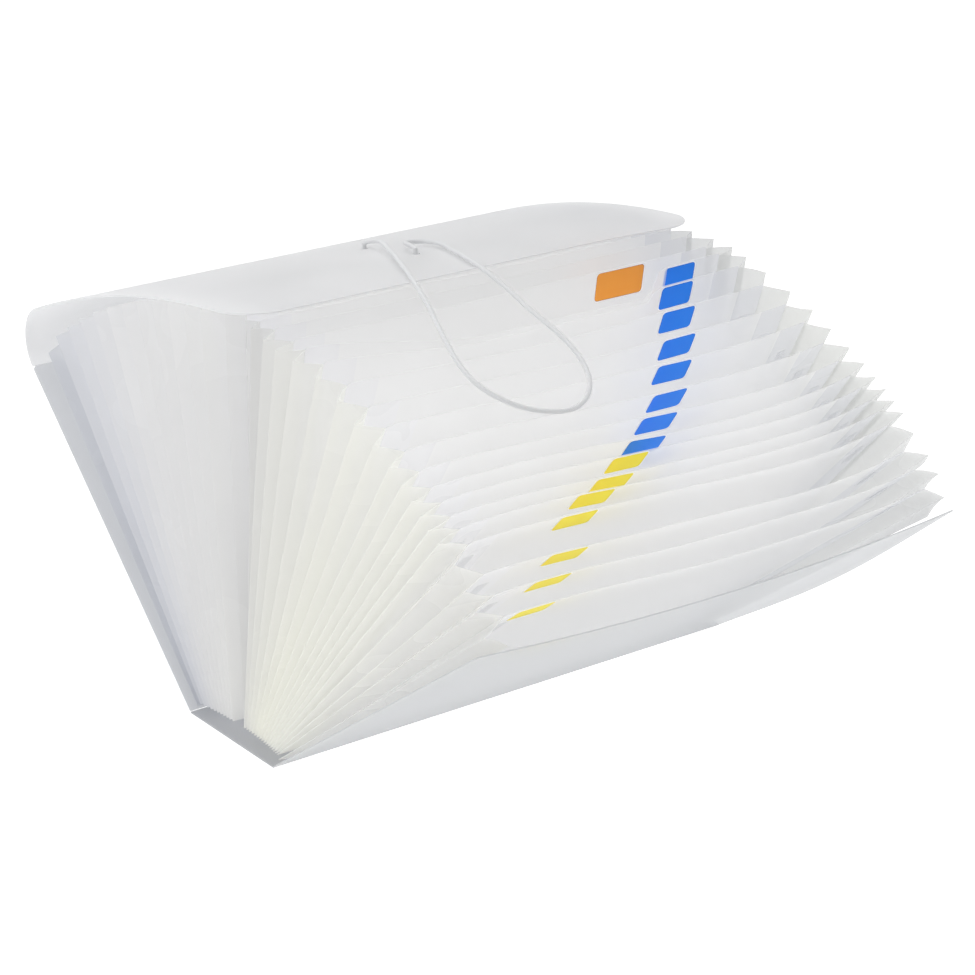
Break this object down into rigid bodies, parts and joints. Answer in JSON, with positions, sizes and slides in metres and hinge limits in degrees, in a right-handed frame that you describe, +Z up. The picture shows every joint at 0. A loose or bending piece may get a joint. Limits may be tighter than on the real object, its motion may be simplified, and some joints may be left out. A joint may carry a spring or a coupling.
{
  "type": "expanding file folder",
  "caption": "Expanding file folder standing open as a fan: two stiff covers, thin milky dividers with coloured labels, folded gussets, a flap and an elastic cord.",
  "frame": {"origin": "middle of the spine strip's underside", "axes": "+X along the spine, -Y towards the front cover, +Z up from the surface that the folder stands on"},
  "size_m": [0.33, 0.4648, 0.2643],
  "materials": {
    "clear_board": "frosted",
    "milky_sheet": "frosted",
    "cord_grey": "woven",
    "barb_metal": "satin",
    "label_orange": "printed",
    "label_blue": "printed",
    "label_yellow": "printed"
  },
  "bodies": {
    "spine": {"spine_strip": "clear_board", "bottom_gusset": "milky_sheet", "gusset_left": "milky_sheet", "gusset_right": "milky_sheet", "divider_13": "milky_sheet"},
    "front_cover": {"front_cover": "clear_board"},
    "back_cover": {"back_cover": "clear_board"},
    "flap_fold": {"flap_fold": "clear_board"},
    "flap": {"flap": "clear_board", "elastic_cord": "cord_grey", "cord_barb_rear": "barb_metal", "cord_barb_front": "barb_metal"},
    "pocket_wall_01": {"divider_01": "milky_sheet"},
    "pocket_wall_02": {"divider_02": "milky_sheet"},
    "pocket_wall_03": {"divider_03": "milky_sheet"},
    "pocket_wall_04": {"divider_04": "milky_sheet"},
    "pocket_wall_05": {"divider_05": "milky_sheet"},
    "pocket_wall_06": {"divider_06": "milky_sheet"},
    "pocket_wall_07": {"divider_07": "milky_sheet"},
    "pocket_wall_08": {"divider_08": "milky_sheet"},
    "pocket_wall_09": {"divider_09": "milky_sheet"},
    "pocket_wall_10": {"divider_10": "milky_sheet"},
    "pocket_wall_11": {"divider_11": "milky_sheet"},
    "pocket_wall_12": {"divider_12": "milky_sheet"},
    "pocket_wall_14": {"divider_14": "milky_sheet"},
    "pocket_wall_15": {"divider_15": "milky_sheet"},
    "pocket_wall_16": {"divider_16": "milky_sheet", "label_16": "label_orange"},
    "pocket_wall_17": {"divider_17": "milky_sheet", "label_17": "label_blue"},
    "pocket_wall_18": {"divider_18": "milky_sheet", "label_18": "label_blue"},
    "pocket_wall_19": {"divider_19": "milky_sheet", "label_19": "label_blue"},
    "pocket_wall_20": {"divider_20": "milky_sheet", "label_20": "label_blue"},
    "pocket_wall_21": {"divider_21": "milky_sheet", "label_21": "label_blue"},
    "pocket_wall_22": {"divider_22": "milky_sheet", "label_22": "label_blue"},
    "pocket_wall_23": {"divider_23": "milky_sheet", "label_23": "label_blue"},
    "pocket_wall_24": {"divider_24": "milky_sheet", "label_24": "label_blue"},
    "pocket_wall_25": {"divider_25": "milky_sheet", "label_25": "label_yellow"},
    "pocket_wall_26": {"divider_26": "milky_sheet", "label_26": "label_yellow"},
    "pocket_wall_27": {"divider_27": "milky_sheet", "label_27": "label_yellow"},
    "pocket_wall_28": {"divider_28": "milky_sheet", "label_28": "label_yellow"},
    "pocket_wall_29": {"divider_29": "milky_sheet", "label_29": "label_yellow"},
    "pocket_wall_30": {"divider_30": "milky_sheet", "label_30": "label_yellow"},
    "pocket_wall_31": {"divider_31": "milky_sheet", "label_31": "label_yellow"}
  },
  "joints": [
    {"name": "front_cover_hinge", "type": "hinge", "parent": "spine", "child": "front_cover", "pos_m": [0, -0.0446, 0], "axis": [1, 0, 0], "range_deg": [-54.6, 0], "deforming": ["gusset_left", "gusset_right"]},
    {"name": "back_cover_hinge", "type": "hinge", "parent": "spine", "child": "back_cover", "pos_m": [0, 0.0446, 0], "axis": [1, 0, 0], "range_deg": [0, 46.02]},
    {"name": "divider_01_fold", "type": "hinge", "parent": "spine", "child": "pocket_wall_01", "pos_m": [0, 0.04029, 0.00529], "axis": [1, 0, 0], "range_deg": [0, 42.48]},
    {"name": "divider_02_fold", "type": "hinge", "parent": "spine", "child": "pocket_wall_02", "pos_m": [0, 0.03645, 0.00559], "axis": [1, 0, 0], "range_deg": [0, 38.94]},
    {"name": "divider_03_fold", "type": "hinge", "parent": "spine", "child": "pocket_wall_03", "pos_m": [0, 0.03268, 0.00587], "axis": [1, 0, 0], "range_deg": [0, 35.41]},
    {"name": "divider_04_fold", "type": "hinge", "parent": "spine", "child": "pocket_wall_04", "pos_m": [0, 0.02899, 0.00615], "axis": [1, 0, 0], "range_deg": [0, 31.87]},
    {"name": "divider_05_fold", "type": "hinge", "parent": "spine", "child": "pocket_wall_05", "pos_m": [0, 0.02538, 0.00641], "axis": [1, 0, 0], "range_deg": [0, 28.33]},
    {"name": "divider_06_fold", "type": "hinge", "parent": "spine", "child": "pocket_wall_06", "pos_m": [0, 0.02183, 0.00667], "axis": [1, 0, 0], "range_deg": [0, 24.79]},
    {"name": "divider_07_fold", "type": "hinge", "parent": "spine", "child": "pocket_wall_07", "pos_m": [0, 0.01837, 0.0069], "axis": [1, 0, 0], "range_deg": [0, 21.25]},
    {"name": "divider_08_fold", "type": "hinge", "parent": "spine", "child": "pocket_wall_08", "pos_m": [0, 0.01497, 0.00712], "axis": [1, 0, 0], "range_deg": [0, 17.71]},
    {"name": "divider_09_fold", "type": "hinge", "parent": "spine", "child": "pocket_wall_09", "pos_m": [0, 0.01165, 0.00732], "axis": [1, 0, 0], "range_deg": [0, 14.17]},
    {"name": "divider_10_fold", "type": "hinge", "parent": "spine", "child": "pocket_wall_10", "pos_m": [0, 0.00841, 0.00749], "axis": [1, 0, 0], "range_deg": [0, 10.63]},
    {"name": "divider_11_fold", "type": "hinge", "parent": "spine", "child": "pocket_wall_11", "pos_m": [0, 0.00524, 0.00765], "axis": [1, 0, 0], "range_deg": [0, 7.1]},
    {"name": "divider_12_fold", "type": "hinge", "parent": "spine", "child": "pocket_wall_12", "pos_m": [0, 0.00214, 0.00777], "axis": [1, 0, 0], "range_deg": [0, 3.56]},
    {"name": "divider_14_fold", "type": "hinge", "parent": "spine", "child": "pocket_wall_14", "pos_m": [0, -0.00383, 0.00794], "axis": [1, 0, 0], "range_deg": [-2.48, 0]},
    {"name": "divider_15_fold", "type": "hinge", "parent": "spine", "child": "pocket_wall_15", "pos_m": [0, -0.0067, 0.00799], "axis": [1, 0, 0], "range_deg": [-5.21, 0]},
    {"name": "divider_16_fold", "type": "hinge", "parent": "spine", "child": "pocket_wall_16", "pos_m": [0, -0.0095, 0.008], "axis": [1, 0, 0], "range_deg": [-8.92, 0]},
    {"name": "divider_17_fold", "type": "hinge", "parent": "spine", "child": "pocket_wall_17", "pos_m": [0, -0.01223, 0.00799], "axis": [1, 0, 0], "range_deg": [-10.94, 0]},
    {"name": "divider_18_fold", "type": "hinge", "parent": "spine", "child": "pocket_wall_18", "pos_m": [0, -0.01488, 0.00794], "axis": [1, 0, 0], "range_deg": [-14.54, 0]},
    {"name": "divider_19_fold", "type": "hinge", "parent": "spine", "child": "pocket_wall_19", "pos_m": [0, -0.01746, 0.00787], "axis": [1, 0, 0], "range_deg": [-19.24, 0]},
    {"name": "divider_20_fold", "type": "hinge", "parent": "spine", "child": "pocket_wall_20", "pos_m": [0, -0.01996, 0.00777], "axis": [1, 0, 0], "range_deg": [-23.61, 0]},
    {"name": "divider_21_fold", "type": "hinge", "parent": "spine", "child": "pocket_wall_21", "pos_m": [0, -0.02239, 0.00765], "axis": [1, 0, 0], "range_deg": [-27.1, 0]},
    {"name": "divider_22_fold", "type": "hinge", "parent": "spine", "child": "pocket_wall_22", "pos_m": [0, -0.02474, 0.00749], "axis": [1, 0, 0], "range_deg": [-30.92, 0]},
    {"name": "divider_23_fold", "type": "hinge", "parent": "spine", "child": "pocket_wall_23", "pos_m": [0, -0.02702, 0.00732], "axis": [1, 0, 0], "range_deg": [-33.93, 0]},
    {"name": "divider_24_fold", "type": "hinge", "parent": "spine", "child": "pocket_wall_24", "pos_m": [0, -0.02923, 0.00712], "axis": [1, 0, 0], "range_deg": [-36.22, 0]},
    {"name": "divider_25_fold", "type": "hinge", "parent": "spine", "child": "pocket_wall_25", "pos_m": [0, -0.03136, 0.0069], "axis": [1, 0, 0], "range_deg": [-38.13, 0]},
    {"name": "divider_26_fold", "type": "hinge", "parent": "spine", "child": "pocket_wall_26", "pos_m": [0, -0.03342, 0.00667], "axis": [1, 0, 0], "range_deg": [-39.93, 0]},
    {"name": "divider_27_fold", "type": "hinge", "parent": "spine", "child": "pocket_wall_27", "pos_m": [0, -0.0354, 0.00641], "axis": [1, 0, 0], "range_deg": [-41.52, 0]},
    {"name": "divider_28_fold", "type": "hinge", "parent": "spine", "child": "pocket_wall_28", "pos_m": [0, -0.03731, 0.00615], "axis": [1, 0, 0], "range_deg": [-43.43, 0]},
    {"name": "divider_29_fold", "type": "hinge", "parent": "spine", "child": "pocket_wall_29", "pos_m": [0, -0.03914, 0.00587], "axis": [1, 0, 0], "range_deg": [-47.19, 0]},
    {"name": "divider_30_fold", "type": "hinge", "parent": "spine", "child": "pocket_wall_30", "pos_m": [0, -0.0409, 0.00559], "axis": [1, 0, 0], "range_deg": [-49.71, 0]},
    {"name": "divider_31_fold", "type": "hinge", "parent": "spine", "child": "pocket_wall_31", "pos_m": [0, -0.04259, 0.00529], "axis": [1, 0, 0], "range_deg": [-52.22, 0]},
    {"name": "flap_fold_bend", "type": "hinge", "parent": "back_cover", "child": "flap_fold", "pos_m": [0, 0.21724, 0.16672], "axis": [1, 0, 0], "range_deg": [-31.7, 0]},
    {"name": "flap_hinge", "type": "hinge", "parent": "flap_fold", "child": "flap", "pos_m": [0, 0.20977, 0.20615], "axis": [1, 0, 0], "range_deg": [-120, 0]}
  ],
  "couplings": [
    {"joint": "back_cover_hinge", "follows": "front_cover_hinge", "ratio": -0.84249},
    {"joint": "divider_01_fold", "follows": "front_cover_hinge", "ratio": -0.77768},
    {"joint": "divider_02_fold", "follows": "front_cover_hinge", "ratio": -0.71288},
    {"joint": "divider_03_fold", "follows": "front_cover_hinge", "ratio": -0.64807},
    {"joint": "divider_04_fold", "follows": "front_cover_hinge", "ratio": -0.58326},
    {"joint": "divider_05_fold", "follows": "front_cover_hinge", "ratio": -0.51846},
    {"joint": "divider_06_fold", "follows": "front_cover_hinge", "ratio": -0.45365},
    {"joint": "divider_07_fold", "follows": "front_cover_hinge", "ratio": -0.38884},
    {"joint": "divider_08_fold", "follows": "front_cover_hinge", "ratio": -0.32404},
    {"joint": "divider_09_fold", "follows": "front_cover_hinge", "ratio": -0.25923},
    {"joint": "divider_10_fold", "follows": "front_cover_hinge", "ratio": -0.19442},
    {"joint": "divider_11_fold", "follows": "front_cover_hinge", "ratio": -0.12961},
    {"joint": "divider_12_fold", "follows": "front_cover_hinge", "ratio": -0.064807},
    {"joint": "divider_14_fold", "follows": "front_cover_hinge", "ratio": 0.045},
    {"joint": "divider_15_fold", "follows": "front_cover_hinge", "ratio": 0.095},
    {"joint": "divider_16_fold", "follows": "front_cover_hinge", "ratio": 0.163},
    {"joint": "divider_17_fold", "follows": "front_cover_hinge", "ratio": 0.2},
    {"joint": "divider_18_fold", "follows": "front_cover_hinge", "ratio": 0.266},
    {"joint": "divider_19_fold", "follows": "front_cover_hinge", "ratio": 0.352},
    {"joint": "divider_20_fold", "follows": "front_cover_hinge", "ratio": 0.432},
    {"joint": "divider_21_fold", "follows": "front_cover_hinge", "ratio": 0.496},
    {"joint": "divider_22_fold", "follows": "front_cover_hinge", "ratio": 0.566},
    {"joint": "divider_23_fold", "follows": "front_cover_hinge", "ratio": 0.621},
    {"joint": "divider_24_fold", "follows": "front_cover_hinge", "ratio": 0.663},
    {"joint": "divider_25_fold", "follows": "front_cover_hinge", "ratio": 0.698},
    {"joint": "divider_26_fold", "follows": "front_cover_hinge", "ratio": 0.731},
    {"joint": "divider_27_fold", "follows": "front_cover_hinge", "ratio": 0.76},
    {"joint": "divider_28_fold", "follows": "front_cover_hinge", "ratio": 0.795},
    {"joint": "divider_29_fold", "follows": "front_cover_hinge", "ratio": 0.864},
    {"joint": "divider_30_fold", "follows": "front_cover_hinge", "ratio": 0.91},
    {"joint": "divider_31_fold", "follows": "front_cover_hinge", "ratio": 0.956},
    {"joint": "flap_fold_bend", "follows": "front_cover_hinge", "ratio": 0.58}
  ]
}
